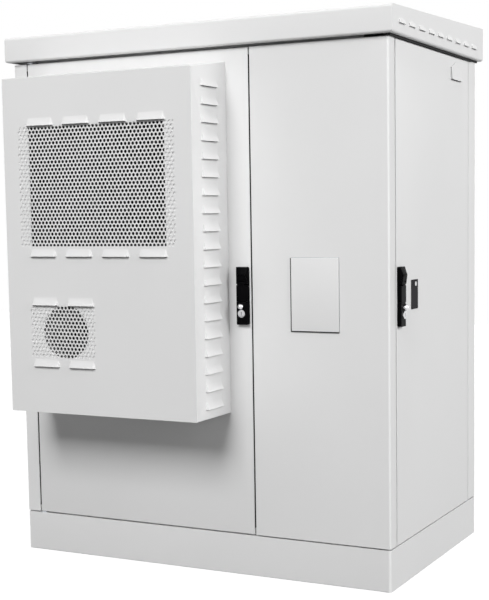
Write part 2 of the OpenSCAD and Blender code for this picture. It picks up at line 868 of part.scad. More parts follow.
// A rack rail from floor to roof deck, its face towards -Y and its flanges behind
module rail() {
  low = (deck_z - floor_z - rack_units * unit_h) / 2;
  color(zinc) translate([0, 0, floor_z]) {
    rotate([90, 0, 0]) translate([0, 0, -sheet]) linear_extrude(height = sheet) difference() {
      square([rail_w, deck_z - floor_z]);
      for (u = [0 : rack_units - 1], s = rack_hole_shares)
        translate([rail_w / 2, low + (u + s) * unit_h]) square(square_s, center = true);
    }
    cube([sheet, rail_d, deck_z - floor_z]);
    translate([rail_w - sheet, 0, 0]) cube([sheet, rail_d, deck_z - floor_z]);
  }
}

module rail_front_left() {
  translate([rack_x - rack_w / 2 - rail_w, y_f + rail_front, 0]) rail();
}

module rail_front_right() {
  translate([rack_x + rack_w / 2, y_f + rail_front, 0]) rail();
}

module rail_rear_left() {
  translate([rack_x - rack_w / 2 - rail_w, y_f + rail_rear, 0]) mirror([0, 1, 0]) rail();
}

module rail_rear_right() {
  translate([rack_x + rack_w / 2, y_f + rail_rear, 0]) mirror([0, 1, 0]) rail();
}

module mounting_plate() {
  color(zinc) translate([panel_x, -plate_w / 2, plate_z]) difference() {
    cube([plate_fold, plate_w, plate_h]);
    translate([-sheet, sheet, sheet]) cube([plate_fold, plate_w - 2 * sheet, plate_h - 2 * sheet]);
  }
}

// A terminal rail across the mounting plate, its lower edge at height z
module din_rail(z) {
  step = (din_w - din_in) / 2;
  color(chrome_c) translate([panel_x + plate_fold, plate_w / 2, plate_z + z]) rotate([90, 0, 0])
    linear_extrude(height = plate_w) difference() {
      union() {
        translate([din_d - din_t, 0]) square([din_t, din_w]);
        translate([0, step - din_t]) square([din_d, din_in + 2 * din_t]);
      }
      translate([din_t, step]) square([din_d, din_in]);
    }
}

module din_rail_low() {
  din_rail(din_low);
}

module din_rail_high() {
  din_rail(din_high);
}

module earth_posts() {
  color(insulator_c) for (s = [-1, 1])
    translate([panel_x, s * earth_l * earth_post_share, earth_z + earth_h / 2]) rotate([0, 90, 0])
      cylinder(d = earth_post_d, h = earth_post_l);
}

module earth_bar() {
  row = earth_l * earth_row_share;
  step = row / (earth_holes - 1);
  color(brass_c) translate([panel_x + earth_post_l, earth_y, earth_z]) difference() {
    cube([earth_t, earth_l, earth_h]);
    for (i = [0 : earth_holes - 1])
      translate([-earth_t, (earth_l - row) / 2 + i * step, earth_h / 2]) rotate([0, 90, 0])
        cylinder(d = earth_hole_d, h = earth_t * 3);
  }
}

// A bearing block in a door's hinge corner, with the pin's bore
module bearing(z) {
  difference() {
    translate([pin_edge - block_s / 2, pin_back - block_s / 2, z])
      cube([block_s, block_s, pin_reach + sheet]);
    translate([pin_edge, pin_back, z - pin_reach])
      cylinder(d = pin_d + 2 * fit, h = pin_reach * 3 + sheet);
  }
}

// A door that faces -Y with its hinge at the left, its outer lower corner at the origin
module door(w) {
  h = door_z1 - door_z0;
  difference() {
    tray(w, h, door_depth);
    for (z = [-sheet, h - 2 * sheet])
      translate([pin_edge, pin_back, z]) cylinder(d = pin_d + 2 * fit, h = 3 * sheet);
  }
  bearing(0);
  bearing(h - pin_reach - sheet);
}

// The seal behind a door's lips
module seal(w) {
  h = door_z1 - door_z0;
  color(black) translate([0, door_depth, 0]) difference() {
    translate([seal_in, 0, seal_in]) cube([w - 2 * seal_in, seal_t, h - 2 * seal_in]);
    translate([seal_in + seal_w, -seal_t, seal_in + seal_w])
      cube([w - 2 * (seal_in + seal_w), 3 * seal_t, h - 2 * (seal_in + seal_w)]);
  }
}

module front_door() {
  w = fd_x1 - fd_x0;
  color(paint) difference() {
    translate([fd_x0, y_f, door_z0]) door(w);
    at_front_grip() spindle_hole();
  }
}

module front_seal() {
  translate([fd_x0, y_f, door_z0]) seal(fd_x1 - fd_x0);
}

// Places for the vents down both sides of the cooler
module at_side_vents() {
  for (s = [-1, 1], i = [0 : side_vents - 1])
    translate([cool_xm + s * cooler_w / 2, y_f - cooler_d / 2, cooler_z + side_vent_z + i * side_pitch])
      rotate([0, 0, s * 90]) children();
}

// The cooler's side outline, drawn in by d at the top and bottom
module cooler_side(d) {
  polygon([[baffle_y - d, cooler_z + d], [y_f + d, cooler_z + d],
    [y_f + d, cool_z1 + cooler_rise + (cooler_rise / cooler_d - 1) * d],
    [baffle_y - d, cool_z1 + cooler_rise * (sheet - d) / cooler_d - d]]);
}

module cooler_shell() {
  color(paint) difference() {
    union() {
      translate([cool_x0, 0, 0]) rotate([90, 0, 90]) linear_extrude(height = cooler_w) cooler_side(0);
      at_side_vents() vent_hood(vent_w, vent_h, vent_p);
    }
    translate([cool_x0 + sheet, 0, 0]) rotate([90, 0, 90])
      linear_extrude(height = cooler_w - 2 * sheet) cooler_side(sheet);
    at_side_vents() vent_hollow(vent_w, vent_h, vent_p);
  }
}

// Places for the vents across the cooler's front: two short rows and two long ones
module at_front_vents() {
  for (r = [0, 1], i = [-1, 1])
    translate([lower_xc + i * vent_pitch / 2, cool_y, cooler_z + vent_rows[r]]) children();
  for (r = [2, 3], i = [0 : long_vents - 1])
    translate([cool_xm + (i - (long_vents - 1) / 2) * vent_pitch, cool_y, cooler_z + vent_rows[r]])
      children();
}

module cooler_front() {
  color(paint) difference() {
    union() {
      box([cool_x0, cool_y, cooler_z], [cool_x1, cool_y + sheet, cool_z1]);
      at_front_vents() vent_hood(vent_w, vent_h, vent_p);
    }
    at_front_vents() vent_hollow(vent_w, vent_h, vent_p);
    box([cool_xm - upper_w / 2, cool_y - sheet, upper_z0],
      [cool_xm + upper_w / 2, cool_y + 2 * sheet, upper_z0 + upper_h]);
    box([lower_xc - lower_w / 2, cool_y - sheet, lower_z0],
      [lower_xc + lower_w / 2, cool_y + 2 * sheet, lower_z0 + lower_h]);
  }
}

module grille_upper() {
  color(paint) translate([cool_xm, cool_y, cooler_z + upper_z])
    grille(upper_cols, upper_rows, upper_w, upper_h);
}

module grille_lower() {
  color(paint) translate([lower_xc, cool_y, cooler_z + lower_z])
    grille(lower_cols, lower_rows, lower_w, lower_h);
}

module cooler_back() {
  color(zinc) box([cool_x0 + sheet, y_f - sheet, cooler_z + sheet], [cool_x1 - sheet, y_f, cool_z1]);
}

module cooler_baffle() {
  color(paint) difference() {
    union() {
      box([cool_xm - upper_w / 2 - baffle_m, baffle_y, upper_z0 - baffle_m],
        [cool_xm + upper_w / 2 + baffle_m, baffle_y + sheet, upper_z0 + upper_h + baffle_m]);
      box([lower_xc - lower_w / 2 - baffle_m, baffle_y, lower_z0 - baffle_m],
        [lower_xc + lower_w / 2 + baffle_m, baffle_y + sheet, upper_z0]);
      translate([fan_xc, baffle_y, fan_zc]) rotate([-90, 0, 0])
        cylinder(r = fan_open_r + sheet, h = ring_l + sheet);
    }
    box([cool_xm - window_w / 2, baffle_y - sheet, upper_z0 + grille_rim],
      [cool_xm + window_w / 2, baffle_y + 2 * sheet, upper_z0 + upper_h - grille_rim]);
    translate([fan_xc, baffle_y - sheet, fan_zc]) rotate([-90, 0, 0])
      cylinder(r = fan_open_r, h = ring_l * 2);
  }
}

module cooler_coil() {
  x0 = cool_xm - window_w / 2;
  z0 = upper_z0 + grille_rim;
  h = upper_h - 2 * grille_rim;
  step = (window_w - fin_t) / (fins + 1);
  fin_d = coil_d * fin_share;
  color(zinc) translate([x0, coil_y, z0]) {
    difference() {
      cube([window_w, coil_d, h]);
      translate([sheet, -coil_d, sheet]) cube([window_w - 2 * sheet, coil_d * 3, h - 2 * sheet]);
    }
    for (i = [1 : fins])
      translate([i * step, (coil_d - fin_d) / 2, sheet / 2]) cube([fin_t, fin_d, h - sheet]);
  }
}

module fan_motor() {
  color(dark_steel) translate([fan_xc, motor_y, fan_zc]) rotate([-90, 0, 0]) difference() {
    cylinder(r = motor_r, h = motor_l);
    translate([0, 0, -sheet]) cylinder(d = shaft_d + 2 * fit, h = motor_l * bore_share);
  }
}

module fan_bridge() {
  leg = y_f - sheet - bridge_y;
  color(zinc) translate([fan_xc - bridge_s / 2, bridge_y, fan_zc - bridge_w / 2]) {
    cube([bridge_s, bridge_t, bridge_w]);
    cube([bridge_t, leg, bridge_w]);
    translate([bridge_s - bridge_t, 0, 0]) cube([bridge_t, leg, bridge_w]);
  }
}

module fan() {
  y_hub = coil_y + sheet;
  blade_w = fan_r * blade_w_share;
  color(dark_steel) translate([fan_xc, y_hub, fan_zc]) rotate([-90, 0, 0]) {
    cylinder(r = hub_r, h = hub_l);
    cylinder(d = shaft_d, h = motor_y - y_hub + motor_l * shaft_share);
    for (i = [0 : blades - 1]) rotate([0, 0, i * 360 / blades]) intersection() {
      translate([hub_r * blade_root_share, 0, hub_l / 2]) rotate([blade_a, 0, 0])
        translate([0, -blade_w / 2, -blade_t / 2]) cube([fan_r, blade_w, blade_t]);
      cylinder(r = fan_r, h = hub_l);
    }
  }
}

// The handle's outline as a slab of thickness t
module grip_slab(t) {
  translate([0, 0, grip_h / 2]) rotate([90, 0, 0]) linear_extrude(height = t)
    round_rect(grip_w, grip_h, base_r);
}

// The space that a handle's raised parts fill: its sides lean in towards the crown
module crown() {
  lean = crown_in / (head_t - grip_side);
  half = grip_w / 2 + lean * grip_side;
  translate([0, 0, -eps]) linear_extrude(height = grip_h + 2 * eps)
    polygon([[-half, 0], [half, 0], [half - 2 * lean * head_t, -2 * head_t],
      [2 * lean * head_t - half, -2 * head_t]]);
}

// The handle's base: a plate with a lock block below and a bore for the spindle
module grip_base() {
  color(black) difference() {
    union() {
      grip_slab(base_t);
      intersection() {
        grip_slab(lock_t);
        crown();
        translate([-grip_w, -2 * lock_t, 0]) cube([2 * grip_w, 2 * lock_t, lock_h]);
      }
    }
    translate([0, -base_t, swing_z]) rotate([90, 0, 0]) cylinder(r = lever_r + lever_gap, h = 2 * lock_t);
    translate([0, base_t, swing_z]) rotate([90, 0, 0]) cylinder(d = spindle_d + 2 * fit, h = 3 * base_t);
    translate([0, -base_t, button_z]) rotate([90, 0, 0]) cylinder(d = button_d + 2 * fit, h = 2 * lock_t);
    translate([0, -base_t, plug_z]) rotate([90, 0, 0]) cylinder(d = plug_d + 2 * fit, h = 2 * lock_t);
  }
}

// The handle's head, which swings, with its spindle, nut and lift pin
module grip_head() {
  low = swing_z - head_low;
  slot = tongue_w + 4 * fit;
  color(black) {
    difference() {
      intersection() {
        translate([-grip_w / 2, 0, 0]) rotate([90, 0, 90]) linear_extrude(height = grip_w)
          polygon([[-base_t, low], [-head_low_t, low], [-head_t, swing_z + crown_up],
            [-head_t, swing_z + crown_up + sheet], [-head_top_t, grip_h], [-base_t, grip_h]]);
        crown();
      }
      translate([-slot / 2, -2 * head_t, low - knuckle_r])
        cube([slot, 3 * head_t, lift_z - low + slot_share * knuckle_r]);
    }
    translate([-lift_pin_l / 2, -lift_out, lift_z]) rotate([0, 90, 0])
      cylinder(d = lift_pin_d, h = lift_pin_l);
    translate([0, -base_t - eps, swing_z]) rotate([-90, 0, 0])
      cylinder(d = spindle_d, h = base_t + eps + sheet + nut_t);
    translate([0, sheet, swing_z]) rotate([-90, 0, 0]) cylinder(d = nut_d, h = nut_t, $fn = 6);
  }
}

// The handle's lever, which lifts out of the base
module grip_lever() {
  top = swing_z - lever_top;
  low = swing_z - lever_r - lever_gap;
  w_low = lever_w / 2;
  w_top = grip_w / 2;
  color(black) difference() {
    union() {
      intersection() {
        rotate([90, 0, 0]) linear_extrude(height = lever_t)
          polygon([[-w_low, low], [w_low, low], [w_top, top], [-w_top, top]]);
        translate([0, -base_t, swing_z]) rotate([90, 0, 0]) cylinder(r = lever_r, h = lever_t);
        crown();
      }
      translate([-tongue_w / 2, -lift_out - knuckle_r, top - eps])
        cube([tongue_w, 2 * knuckle_r, lift_z - top + eps]);
      translate([-tongue_w / 2, -lift_out, lift_z]) rotate([0, 90, 0]) cylinder(r = knuckle_r, h = tongue_w);
    }
    translate([-grip_w, -lift_out, lift_z]) rotate([0, 90, 0])
      cylinder(d = lift_pin_d + 2 * fit, h = 2 * grip_w);
  }
}

// The release button: a round stem with a domed end
module grip_button() {
  stem = button_out - dome_r;
  color(chrome_c) {
    translate([0, -button_in, button_z]) rotate([90, 0, 0]) cylinder(d = button_d, h = stem - button_in);
    translate([0, -stem, button_z]) rotate([90, 0, 0]) rotate_extrude() intersection() {
      circle(r = dome_r);
      square(dome_r);
    }
  }
}

// The lock plug, with its key slot
module grip_plug() {
  color(chrome_c) translate([0, 0, plug_z]) difference() {
    translate([0, -plug_floor, 0]) rotate([90, 0, 0]) cylinder(d = plug_d, h = plug_out - plug_floor);
    translate([-key_w / 2, -plug_out - sheet, -key_h / 2]) cube([key_w, key_d + sheet, key_h]);
  }
}

// The hole in a door for the spindle
module spindle_hole() {
  translate([0, -sheet, swing_z]) rotate([-90, 0, 0]) cylinder(d = spindle_d + 2 * fit, h = 3 * sheet);
}

// Where the front door's handle and the side door's handle sit
module at_front_grip() {
  translate([grip_fx, y_f, grip_z]) children();
}

module at_side_grip() {
  translate([x_r, grip_sy, grip_z]) rotate([0, 0, 90]) children();
}

module front_grip_base() {
  at_front_grip() grip_base();
}

module front_grip_head() {
  at_front_grip() grip_head();
}

module front_grip_lever() {
  at_front_grip() grip_lever();
}

module front_button() {
  at_front_grip() grip_button();
}

module front_plug() {
  at_front_grip() grip_plug();
}

module side_grip_base() {
  at_side_grip() grip_base();
}

module side_grip_head() {
  at_side_grip() grip_head();
}

module side_grip_lever() {
  at_side_grip() grip_lever();
}

module side_button() {
  at_side_grip() grip_button();
}

module side_plug() {
  at_side_grip() grip_plug();
}

// Where the side door's vent sits
module at_door_vent() {
  translate([x_r, y_f + door_vent_y, door_z1 - door_vent_down]) rotate([0, 0, 90]) children();
}

module side_door() {
  w = sd_y1 - sd_y0;
  color(paint) difference() {
    union() {
      translate([x_r, sd_y1, door_z0]) rotate([0, 0, 90]) mirror([1, 0, 0]) door(w);
      at_door_vent() peak_hood(door_vent_w, door_vent_h, door_vent_eave, door_vent_p);
    }
    at_door_vent() peak_hollow(door_vent_w, door_vent_h, door_vent_eave, door_vent_p);
    at_side_grip() spindle_hole();
    at_cover_stud() translate([-2 * sheet, 0, 0]) rotate([0, 90, 0]) cylinder(d = stud_d, h = 4 * sheet);
  }
}

module side_seal() {
  w = sd_y1 - sd_y0;
  translate([x_r, sd_y0, door_z0]) rotate([0, 0, 90]) seal(w);
}

// Where the lock cover turns
module at_cover_stud() {
  translate([x_r, y_f + cover_y, cover_z + cover_h - cover_pivot]) children();
}

module cover_stud() {
  color(chrome_c) at_cover_stud() rotate([0, 90, 0]) {
    translate([0, 0, -sheet]) cylinder(d = stud_d, h = sheet + cover_t + 2 * fit + stud_head_t / 2);
    translate([0, 0, cover_t + 2 * fit]) cylinder(d = stud_head_d, h = stud_head_t);
  }
}

module lock_cover() {
  color(dark_steel) difference() {
    translate([x_r + fit, y_f + cover_y - cover_w / 2, cover_z]) cube([cover_t, cover_w, cover_h]);
    at_cover_stud() translate([-sheet, 0, 0]) rotate([0, 90, 0])
      cylinder(d = stud_d + 2 * fit, h = 4 * cover_t);
  }
}

plinth_front();
plinth_rear();
plinth_left();
plinth_right();
floor_pan();
gland_plate();
post_front_left();
post_rear_left();
post_rear_right();
left_panel();
rear_panel();
front_panel();
hatch_back();
hatch_plate();
partition();
roof_deck();
hood_rib_left();
hood_rib_right();
roof_hood();
hinge_front_low();
hinge_front_high();
hinge_side_low();
hinge_side_high();
rail_front_left();
rail_front_right();
rail_rear_left();
rail_rear_right();
mounting_plate();
din_rail_low();
din_rail_high();
earth_posts();
earth_bar();
front_door();
front_seal();
cooler_shell();
cooler_front();
grille_upper();
grille_lower();
cooler_back();
cooler_baffle();
cooler_coil();
fan_motor();
fan_bridge();
fan();
front_grip_base();
front_grip_head();
front_grip_lever();
front_button();
front_plug();
side_door();
side_seal();
cover_stud();
lock_cover();
side_grip_base();
side_grip_head();
side_grip_lever();
side_button();
side_plug();
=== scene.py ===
from math import pi, radians, sqrt

import bmesh
import bpy
from mathutils import Matrix, Vector


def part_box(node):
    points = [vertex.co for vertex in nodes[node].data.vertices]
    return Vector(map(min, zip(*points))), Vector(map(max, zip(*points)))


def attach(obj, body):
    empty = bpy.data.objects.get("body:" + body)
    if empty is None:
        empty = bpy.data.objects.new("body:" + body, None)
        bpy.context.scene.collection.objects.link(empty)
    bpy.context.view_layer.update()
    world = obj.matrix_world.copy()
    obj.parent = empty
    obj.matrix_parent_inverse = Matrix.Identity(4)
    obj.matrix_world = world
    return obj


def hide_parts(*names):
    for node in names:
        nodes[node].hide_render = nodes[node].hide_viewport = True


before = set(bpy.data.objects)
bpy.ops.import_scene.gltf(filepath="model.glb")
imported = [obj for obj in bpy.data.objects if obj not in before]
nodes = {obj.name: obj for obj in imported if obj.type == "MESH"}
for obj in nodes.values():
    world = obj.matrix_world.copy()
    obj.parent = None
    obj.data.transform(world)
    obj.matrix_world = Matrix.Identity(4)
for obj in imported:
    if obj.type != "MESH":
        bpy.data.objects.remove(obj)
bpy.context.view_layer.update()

# Plinth: four channels of folded 3 mm steel, mitred at the corners and powder coated.
# The coat is sprayed on as dry powder and baked, which rounds every fold and leaves a faint
# orange peel. The anchor bolts go through the lower flange.


def linear(hex_colour):
    """A colour written as sRGB hex, in linear light."""
    parts = [int(hex_colour[i:i + 2], 16) / 255 for i in (1, 3, 5)]
    return [p / 12.92 if p <= 0.04045 else ((p + 0.055) / 1.055) ** 2.4 for p in parts] + [1.0]


def add(material, kind, links=None, **settings):
    """Adds one node; settings name its properties or inputs, and links feed its inputs."""
    tree = material.node_tree
    node = tree.nodes.new(kind)
    for name, value in settings.items():
        if name in node.bl_rna.properties:
            setattr(node, name, value)
        else:
            node.inputs[name.replace("_", " ")].default_value = value
    for name, source in (links or {}).items():
        tree.links.new(source, node.inputs[name])
    return node


def new_material(name):
    """A material with only its output; the shader is added by its section."""
    material = bpy.data.materials.new(name)
    material.use_nodes = True
    material.node_tree.nodes.clear()
    return material


def show(material, shader):
    """Links a finished shader to the material's output."""
    add(material, "ShaderNodeOutputMaterial", {"Surface": shader.outputs[0]})
    return material


def coated(name, colour, shade, roughness):
    """Powder coat: satin, even in colour, with orange peel about 3 mm across.

    Real peel is finer; it is drawn at 3 mm so that it shows at all in the render.
    """
    peel_mm, drift_mm = 3.0, 420.0
    material = new_material(name)
    place = add(material, "ShaderNodeTexCoord").outputs["Object"]
    drift = add(material, "ShaderNodeTexNoise", {"Vector": place}, Scale=1000 / drift_mm, Detail=2.0)
    peel = add(material, "ShaderNodeTexNoise", {"Vector": place}, Scale=1000 / peel_mm, Detail=1.0)
    tint = add(material, "ShaderNodeMix", {"Factor": drift.outputs["Fac"]}, data_type="RGBA")
    tint.inputs["A"].default_value = linear(colour)
    tint.inputs["B"].default_value = linear(shade)
    satin = add(material, "ShaderNodeMapRange", {"Value": peel.outputs["Fac"]})
    satin.inputs["To Min"].default_value = roughness - 0.04
    satin.inputs["To Max"].default_value = roughness + 0.04
    bump = add(material, "ShaderNodeBump", {"Height": peel.outputs["Fac"]},
               Strength=0.05, Distance=0.0002)
    shader = add(material, "ShaderNodeBsdfPrincipled", {
        "Base Color": tint.outputs["Result"], "Roughness": satin.outputs["Result"],
        "Normal": bump.outputs["Normal"]}, IOR=1.5, Specular_IOR_Level=0.3)
    return show(material, shader)


def dress(material, *names):
    """Gives carried-over nodes their material."""
    for name in names:
        slots = nodes[name].data.materials
        slots.clear()
        slots.append(material)


def finish_piece(name, bm, materials, body, replaced=()):
    """Turns a bmesh into a piece that rides on a body; only narrow faces, on its bends, are smooth."""
    narrow, sharp = 0.006, radians(35)
    mesh = bpy.data.meshes.new(name)
    bm.to_mesh(mesh)
    bm.free()
    for material in materials:
        mesh.materials.append(material)
    if mesh.has_custom_normals:
        mesh.attributes.remove(mesh.attributes["custom_normal"])
    for face in mesh.polygons:
        longest = max((mesh.vertices[a].co - mesh.vertices[b].co).length for a, b in face.edge_keys)
        face.use_smooth = face.area / longest < narrow
    mesh.set_sharp_from_angle(angle=sharp)
    piece = bpy.data.objects.new(name, mesh)
    bpy.context.scene.collection.objects.link(piece)
    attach(piece, body)
    if replaced:
        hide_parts(*replaced)
    return piece


def merged(node):
    """A bmesh of a CAD node, with its loose triangles joined."""
    bm = bmesh.new()
    bm.from_mesh(nodes[node].data)
    bmesh.ops.remove_doubles(bm, verts=bm.verts, dist=1e-6)
    return bm


def bent(node, radius, broad=0.008, shortest=0.1):
    """A bmesh of a sheet-metal node with its outer folds rounded to a bend radius.

    Only folds between two broad faces, of a least length, are bends; cut edges stay sharp.
    """
    flat, least_turn, least_width = radians(0.5), radians(40), 0.02
    bm = merged(node)
    bmesh.ops.dissolve_limit(bm, angle_limit=flat, verts=bm.verts, edges=bm.edges)
    bends = []
    for edge in bm.edges:
        if len(edge.link_faces) == 2 and edge.calc_face_angle_signed() > least_turn:
            length = edge.calc_length()
            widths = [face.calc_area() / max(length, least_width) for face in edge.link_faces]
            if length > shortest and min(widths) > broad:
                bends.append(edge)
    if bends:
        bmesh.ops.bevel(bm, geom=bends, offset=radius, offset_type="OFFSET", segments=3, profile=0.5,
                        affect="EDGES", material=-1, clamp_overlap=False)
    return bm


def folded(name, node, body, radius, **limits):
    """A coated sheet with rounded bends, in a node's place."""
    return finish_piece(name, bent(node, radius, **limits), [paint], body, [node])


# Satin light grey: soft, even shading with a dull sheen at a low angle and no clear reflections.
paint = coated("satin_powder_coat", "#DFDFDF", "#DADADA", 0.5)
plinth_bend = 0.004
for side in ("front", "rear", "left", "right"):
    folded(f"plinth_channel_{side}", f"plinth_{side}", "cabinet", plinth_bend)

# Inner frame: a floor pan and a roof deck, coated like the plinth, with a partition, hood ribs, hinge
# tabs and cover plates of zinc-coated sheet. All are cut and folded, and welded or screwed to the pan
# and the deck.


def zinc_coated(name, colour, shade, roughness, spangle_mm):
    """Zinc coat: metal with a spangle, in patches of two close greys."""
    material = new_material(name)
    place = add(material, "ShaderNodeTexCoord").outputs["Object"]
    cells = add(material, "ShaderNodeTexVoronoi", {"Vector": place}, Scale=1000 / spangle_mm)
    tint = add(material, "ShaderNodeMix", {"Factor": cells.outputs["Color"]}, data_type="RGBA")
    tint.inputs["A"].default_value = linear(colour)
    tint.inputs["B"].default_value = linear(shade)
    rub = add(material, "ShaderNodeMapRange", {"Value": cells.outputs["Distance"]})
    rub.inputs["To Min"].default_value = roughness - 0.06
    rub.inputs["To Max"].default_value = roughness + 0.06
    shader = add(material, "ShaderNodeBsdfPrincipled", {
        "Base Color": tint.outputs["Result"], "Roughness": rub.outputs["Result"]}, Metallic=1.0)
    return show(material, shader)


# Dull grey metal with a faint spangle, which blurs what it mirrors.
zinc = zinc_coated("zinc_coated_sheet", "#B9BCC0", "#ABAEB3", 0.45, 14.0)
dress(paint, "floor_pan", "roof_deck")
dress(zinc, "gland_plate", "hatch_back", "partition", "hood_rib_left", "hood_rib_right",
      "hinge_front_low", "hinge_front_high", "hinge_side_low", "hinge_side_high")

# Body: corner posts and panels of folded 2 mm sheet, coated like the plinth and screwed to the inner
# frame. The fixed front panel turns round the front right corner in one piece, and a small blank
# cover closes the hatch in it.
sheet_bend = 0.0025
hatch_bend, hatch_edge = 0.001, 0.003
for name in ("post_front_left", "post_rear_left", "post_rear_right",
             "left_panel", "rear_panel", "front_panel"):
    folded(f"{name}_sheet", name, "cabinet", sheet_bend)
folded("hatch_cover", "hatch_plate", "cabinet", hatch_bend, broad=hatch_edge)

# Hood: one folded lid of coated sheet that slopes to the front and stands over the body on two ribs.
# A row of vents is pressed out of each side, and its lower edge is folded in to shed rain.
hood_bend, hood_side = 0.004, 0.03
folded("hood_lid", "roof_hood", "cabinet", hood_bend, broad=hood_side)

# Doors: folded trays of coated sheet on pivot pins, each with a foamed-rubber seal behind its edges.
# Thin bars of the black rubber stand in the joints on both sides of the front door, one on the door's own
# edge and one on the post. They are painted shade, so that the joints read dark.
folded("front_door_sheet", "front_door", "front_door", sheet_bend)
folded("side_door_sheet", "side_door", "side_door", sheet_bend)


def foam(name, colour, pore_mm):
    """Foamed rubber: matt, with small pores, drawn a little coarse so that they show at all."""
    material = new_material(name)
    place = add(material, "ShaderNodeTexCoord").outputs["Object"]
    pores = add(material, "ShaderNodeTexVoronoi", {"Vector": place}, Scale=1000 / pore_mm)
    bump = add(material, "ShaderNodeBump", {"Height": pores.outputs["Distance"]},
               Strength=0.4, Distance=0.0003)
    shader = add(material, "ShaderNodeBsdfPrincipled", {"Normal": bump.outputs["Normal"]},
                 Base_Color=linear(colour), Roughness=0.9)
    return show(material, shader)


# Matt black that takes up nearly all light: rubber for the real seals, and painted shade in the joints,
# beside the hatch, under the hood and inside the cooler.
rubber = foam("foamed_rubber_and_painted_shade", "#0C0C0D", 1.5)
dress(rubber, "front_seal", "side_seal")


def painted_shade_bar(name, body, low, high):
    """A straight bar of the black rubber between two opposite corners, put in as painted shade."""
    low, high = Vector(low), Vector(high)
    bm = bmesh.new()
    bmesh.ops.create_cube(bm, size=1.0)
    bmesh.ops.scale(bm, verts=bm.verts, vec=high - low)
    bmesh.ops.translate(bm, verts=bm.verts, vec=(low + high) / 2)
    finish_piece(name, bm, [rubber], body)


# Painted shade: thin black bars set into the joints beside the front door.
door_gap, strip_thick, strip_back, strip_deep = 0.004, 0.0006, 0.0015, 0.020
door_low, door_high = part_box("front_door")
for name, body, x in (("seam_painted_shade", "front_door", door_high.x),
                      ("post_painted_shade", "cabinet", door_low.x - door_gap)):
    painted_shade_bar(name, body, (x, door_low.y + strip_back, door_low.z + strip_deep),
               (x + strip_thick, door_low.y + strip_back + strip_deep, door_high.z - strip_deep))

# Hatch shadow: two square bars of the same black rubber on the fixed panel, along the hatch cover's left
# and lower edges. They are painted shadow, for the shadow that the proud cover casts there.
hatch_low, hatch_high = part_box("hatch_plate")
panel_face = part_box("front_panel")[0].y
painted_shadow_out, painted_shadow_left, painted_shadow_below, painted_shadow_clear = 0.0027, 0.0026, 0.0026, 0.0001
painted_shade_bar("hatch_lip_left", "cabinet",
           (hatch_low.x - painted_shadow_clear - painted_shadow_left, panel_face - painted_shadow_out, hatch_low.z - painted_shadow_clear - painted_shadow_below),
           (hatch_low.x - painted_shadow_clear, panel_face, hatch_high.z))
painted_shade_bar("hatch_painted_shadow_low", "cabinet",
           (hatch_low.x, panel_face - painted_shadow_out, hatch_low.z - painted_shadow_clear - painted_shadow_below),
           (hatch_high.x, panel_face, hatch_low.z - painted_shadow_clear))

# Hood shade: a bar of the same black rubber on the roof deck's right side, in the slot between the body
# and the hood. It is painted shade, for the dark shadow under the hood's side.
deck_low, deck_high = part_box("roof_deck")
hood_shade_deep, hood_shade_clear = 0.006, 0.0015
painted_shade_bar("hood_painted_shade", "cabinet", (deck_high.x, deck_low.y, door_high.z + hood_shade_clear),
           (deck_high.x + hood_shade_deep, deck_high.y, deck_high.z))

# Cooler: a vented cover of folded, coated sheet, screwed to the front door. Its front has two punched
# fields of round holes in staggered rows, with the finned coil behind the upper one and the fan
# behind the lower one. The inside faces get the black rubber as painted shade, so the holes and vents look
# dark.
cooler_low, cooler_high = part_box("cooler_shell")
cooler_middle, cooler_half = (cooler_low + cooler_high) / 2, (cooler_high - cooler_low) / 2


def rounded_vents(node, radius, shortest, longest):
    """A bmesh of a front sheet with the ends of its pressed vents rounded, outside and in.

    An end's fold lies between a face that looks sideways and one that doesn't, and leans forward.
    """
    least_turn, frontal, sideways, least_lean = radians(40), 0.3, 0.7, 0.001
    bm = merged(node)
    ends = []
    for edge in bm.edges:
        if shortest < edge.calc_length() < longest and abs(edge.calc_face_angle_signed(0)) > least_turn:
            aside = sorted(abs(face.normal.x) for face in edge.link_faces)
            lean = abs(edge.verts[0].co.y - edge.verts[1].co.y)
            if aside[0] < frontal and aside[1] > sideways and lean > least_lean:
                ends.append(edge)
    lips = {round(min(v.co.z for v in edge.verts), 5) for edge in ends}
    bevelled = bmesh.ops.bevel(bm, geom=ends, offset=radius, offset_type="OFFSET", segments=4, profile=0.5,
                               affect="EDGES", material=-1, clamp_overlap=False)
    # The lips stay level; the bevel by itself would lift their corners.
    for v in bevelled["verts"]:
        v.co.z = next((lip for lip in lips if abs(v.co.z - lip) < radius), v.co.z)
    return bm


shell_wall, inward = 0.05, -0.05
vent_round, vent_end_shortest, vent_end_longest = 0.005, 0.012, 0.04
for name, node, bm in (
        ("cooler_cover_shell", "cooler_shell", bent("cooler_shell", sheet_bend, broad=shell_wall)),
        ("cooler_cover_front", "cooler_front",
         rounded_vents("cooler_front", vent_round, vent_end_shortest, vent_end_longest))):
    # Faces that look into the cooler get the black rubber as painted shade.
    for face in bm.faces:
        away = [c / h for c, h in zip(face.calc_center_median() - cooler_middle, cooler_half)]
        wall = max(range(3), key=lambda axis: abs(away[axis]))
        face.material_index = int(face.normal[wall] * away[wall] < inward)
    finish_piece(name, bm, [paint, rubber], "front_door", [node])
dress(paint, "cooler_baffle")
dress(zinc, "cooler_back", "fan_bridge")


